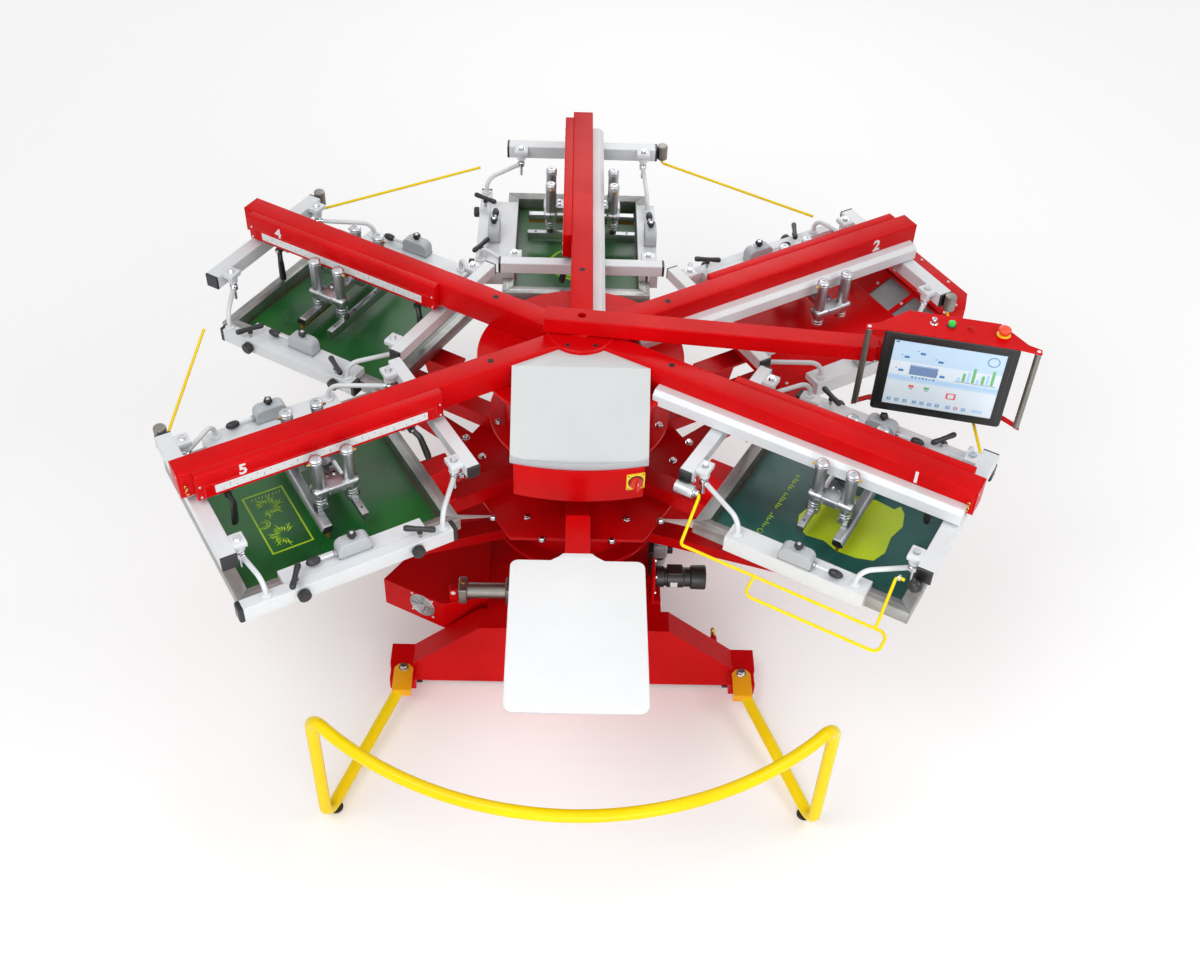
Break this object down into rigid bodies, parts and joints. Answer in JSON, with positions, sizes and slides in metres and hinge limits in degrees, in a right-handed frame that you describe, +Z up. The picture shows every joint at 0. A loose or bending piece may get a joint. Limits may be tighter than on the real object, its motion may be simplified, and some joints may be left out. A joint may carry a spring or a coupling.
{
  "type": "automatic screen printing press",
  "caption": "Automatic carousel screen printing press with pallets on a lifting, indexing hub under print heads, a flash dryer head, a swing-out control panel and a front safety bar.",
  "frame": {"origin": "on the floor, on the vertical axis of the carousel and the print heads", "axes": "+Z up, -Y towards the load station and the operator, +X to the right of the operator"},
  "size_m": [2.6847, 2.7138, 1.437],
  "materials": {
    "red_coat": "hammertone powder coat",
    "white_coat": "satin powder coat",
    "dark_coat": "satin powder coat",
    "yellow_coat": "gloss powder coat",
    "steel": "brushed",
    "dark_steel": "dark",
    "chrome": "polished",
    "aluminium": "satin",
    "black_plastic": "matt",
    "grey_plastic": "moulded",
    "gloss_black": "gloss",
    "red_plastic": "gloss",
    "green_plastic": "gloss",
    "white_print": "printed",
    "mesh_fabric": "coated mesh"
  },
  "bodies": {
    "frame": {"air_unit": "grey_plastic", "arm_beams": "red_coat", "base_frame": "red_coat", "bearing_disc": "steel", "carriage_rails": "dark_steel", "clamp_boxes": "white_coat", "clamp_covers": "grey_plastic", "column": "steel", "cover_levers": "white_coat", "crossbars": "white_coat", "end_caps": "black_plastic", "flash_grilles": "steel", "flash_housing": "red_coat", "front_hood": "white_coat", "hanger_bosses": "white_coat", "hanger_rods": "white_coat", "hanger_studs": "chrome", "head_drum": "red_coat", "index_cylinder": "aluminium", "index_housing": "red_coat", "index_motor": "black_plastic", "levelling_feet": "black_plastic", "locking_knobs": "black_plastic", "rail_covers": "white_coat", "ruler_covers": "red_coat", "ruler_strips": "white_print", "safety_bar": "yellow_coat", "screen_frames": "aluminium", "screen_meshes": "mesh_fabric", "side_channels": "white_coat", "slide_clamps": "aluminium", "switch_box": "red_coat", "trip_rods": "yellow_coat"},
    "lift": {"lift_sleeve": "steel"},
    "carousel": {"carousel_hub": "red_coat", "pallet_arms": "red_coat", "pallet_brackets": "aluminium", "pallets": "white_coat"},
    "control_arm": {"control_arm": "red_coat"},
    "panel": {"panel_housing": "red_coat", "touchscreen": "gloss_black", "panel_handles": "steel"},
    "stop_button": {"stop_button": "red_plastic"},
    "start_button": {"start_button": "green_plastic"},
    "key_switch": {"key_switch": "chrome"},
    "main_switch": {"main_switch": "red_plastic"},
    "guard_loop": {"guard_loop": "yellow_coat"},
    "carriage_1": {"carriage_1": "aluminium"},
    "carriage_2": {"carriage_2": "aluminium"},
    "carriage_3": {"carriage_3": "aluminium"},
    "carriage_4": {"carriage_4": "aluminium"},
    "carriage_5": {"carriage_5": "aluminium"},
    "squeegee_1": {"squeegee_1": "aluminium"},
    "flood_bar_1": {"flood_bar_1": "steel"},
    "squeegee_3": {"squeegee_3": "aluminium"},
    "flood_bar_3": {"flood_bar_3": "steel"},
    "squeegee_4": {"squeegee_4": "aluminium"},
    "flood_bar_4": {"flood_bar_4": "steel"},
    "squeegee_5": {"squeegee_5": "aluminium"},
    "flood_bar_5": {"flood_bar_5": "steel"}
  },
  "joints": [
    {"name": "carousel_lift", "type": "slide", "parent": "frame", "child": "lift", "axis": [0, 0, 1], "range_m": [0, 0.022]},
    {"name": "carousel_spin", "type": "hinge", "parent": "lift", "child": "carousel", "pos_m": [0, 0, 0.56], "axis": [0, 0, 1], "continuous": true},
    {"name": "carriage_1_slide", "type": "slide", "parent": "frame", "child": "carriage_1", "axis": [0.866, -0.5, 0], "range_m": [-0.197, 0.088]},
    {"name": "carriage_2_slide", "type": "slide", "parent": "frame", "child": "carriage_2", "axis": [0.866, 0.5, 0], "range_m": [-0.185, 0.1]},
    {"name": "carriage_3_slide", "type": "slide", "parent": "frame", "child": "carriage_3", "axis": [0, 1, 0], "range_m": [-0.197, 0.088]},
    {"name": "carriage_4_slide", "type": "slide", "parent": "frame", "child": "carriage_4", "axis": [-0.866, 0.5, 0], "range_m": [-0.185, 0.1]},
    {"name": "carriage_5_slide", "type": "slide", "parent": "frame", "child": "carriage_5", "axis": [-0.866, -0.5, 0], "range_m": [-0.164, 0.121]},
    {"name": "squeegee_1_lift", "type": "slide", "parent": "carriage_1", "child": "squeegee_1", "axis": [0, 0, -1], "range_m": [0, 0.026]},
    {"name": "flood_bar_1_lift", "type": "slide", "parent": "carriage_1", "child": "flood_bar_1", "axis": [0, 0, -1], "range_m": [0, 0.026]},
    {"name": "squeegee_3_lift", "type": "slide", "parent": "carriage_3", "child": "squeegee_3", "axis": [0, 0, -1], "range_m": [0, 0.026]},
    {"name": "flood_bar_3_lift", "type": "slide", "parent": "carriage_3", "child": "flood_bar_3", "axis": [0, 0, -1], "range_m": [0, 0.026]},
    {"name": "squeegee_4_lift", "type": "slide", "parent": "carriage_4", "child": "squeegee_4", "axis": [0, 0, -1], "range_m": [0, 0.026]},
    {"name": "flood_bar_4_lift", "type": "slide", "parent": "carriage_4", "child": "flood_bar_4", "axis": [0, 0, -1], "range_m": [0, 0.026]},
    {"name": "squeegee_5_lift", "type": "slide", "parent": "carriage_5", "child": "squeegee_5", "axis": [0, 0, -1], "range_m": [0, 0.026]},
    {"name": "flood_bar_5_lift", "type": "slide", "parent": "carriage_5", "child": "flood_bar_5", "axis": [0, 0, -1], "range_m": [0, 0.026]},
    {"name": "control_arm_swing", "type": "hinge", "parent": "frame", "child": "control_arm", "pos_m": [0, 0, 1.25], "axis": [0, 0, 1], "range_deg": [-3, 9]},
    {"name": "panel_swivel", "type": "hinge", "parent": "control_arm", "child": "panel", "pos_m": [0.94959, -0.10148, 1.283], "axis": [0, 0, 1], "range_deg": [-5, 5]},
    {"name": "stop_button_press", "type": "slide", "parent": "panel", "child": "stop_button", "axis": [0, 0, -1], "range_m": [0, 0.004], "stiffness_N_per_m": 600, "springref_m": -0.003},
    {"name": "start_button_press", "type": "slide", "parent": "panel", "child": "start_button", "axis": [0, 0, -1], "range_m": [0, 0.004], "stiffness_N_per_m": 400, "springref_m": -0.003},
    {"name": "key_turn", "type": "hinge", "parent": "panel", "child": "key_switch", "pos_m": [1.07787, -0.12528, 1.41], "axis": [0, 0, 1], "range_deg": [0, 90]},
    {"name": "main_switch_turn", "type": "hinge", "parent": "frame", "child": "main_switch", "pos_m": [0.178, -0.38699, 0.962], "axis": [0.2328, -0.9725, 0], "range_deg": [0, 90]},
    {"name": "guard_swing", "type": "hinge", "parent": "frame", "child": "guard_loop", "pos_m": [0.63395, -0.72397, 1.086], "axis": [-0.866, 0.5, 0], "range_deg": [0, 35]}
  ]
}
